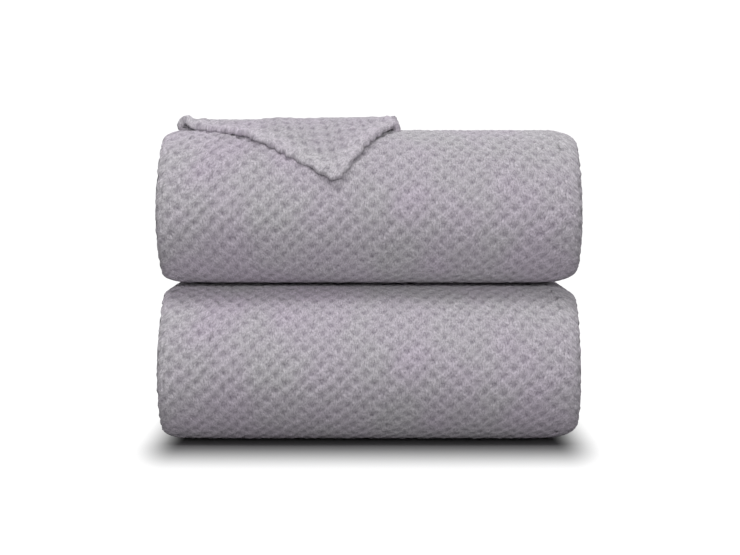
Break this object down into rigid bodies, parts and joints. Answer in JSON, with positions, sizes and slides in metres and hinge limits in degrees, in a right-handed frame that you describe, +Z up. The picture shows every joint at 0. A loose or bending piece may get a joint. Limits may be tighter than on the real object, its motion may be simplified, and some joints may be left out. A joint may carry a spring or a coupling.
{
  "type": "folded throw blanket",
  "caption": "Fleece throws with an embossed puff texture, folded into soft loaves and stacked, with a corner of the upper one turned over the front.",
  "frame": {"origin": "middle of the stack's footprint, on the underside", "axes": "+Z up; +X along the long front fold, to the right as seen from the front; the rounded front fold faces -Y and the free hems face +Y"},
  "size_m": [0.3207, 0.2706, 0.2455],
  "materials": {
    "fleece": "embossed flannel fleece, short soft pile, matt with a faint sheen",
    "thread": "twisted polyester sewing thread",
    "label": "smooth woven satin tape, blank"
  },
  "bodies": {
    "lower_throw": {"lower_cloth": "fleece", "lower_left_hem_stitching": "thread", "lower_right_hem_stitching": "thread", "lower_start_hem_stitching": "thread", "lower_finish_hem_stitching": "thread", "lower_care_label": "label"},
    "upper_throw": {"upper_cloth": "fleece", "upper_left_hem_stitching": "thread", "upper_right_hem_stitching": "thread", "upper_start_hem_stitching": "thread", "upper_finish_hem_stitching": "thread", "upper_care_label": "label"},
    "turned_strip": {"upper_turned_strip": "fleece"},
    "turned_corner": {"upper_turned_corner": "fleece", "corner_left_hem_stitching": "thread", "corner_right_hem_stitching": "thread"}
  },
  "joints": [
    {"name": "upper_throw_lift", "type": "slide", "parent": "lower_throw", "child": "upper_throw", "axis": [0, 0, 1], "range_m": [0, 0.3]},
    {"name": "turned_strip_fold", "type": "hinge", "parent": "upper_throw", "child": "turned_strip", "pos_m": [0, 0.11674, 0.2369], "axis": [-1, 0, 0], "range_deg": [0, 170]},
    {"name": "turned_corner_fold", "type": "hinge", "parent": "turned_strip", "child": "turned_corner", "pos_m": [0, -0.07624, 0.2453], "axis": [-1, 0, 0], "range_deg": [0, 150]}
  ]
}
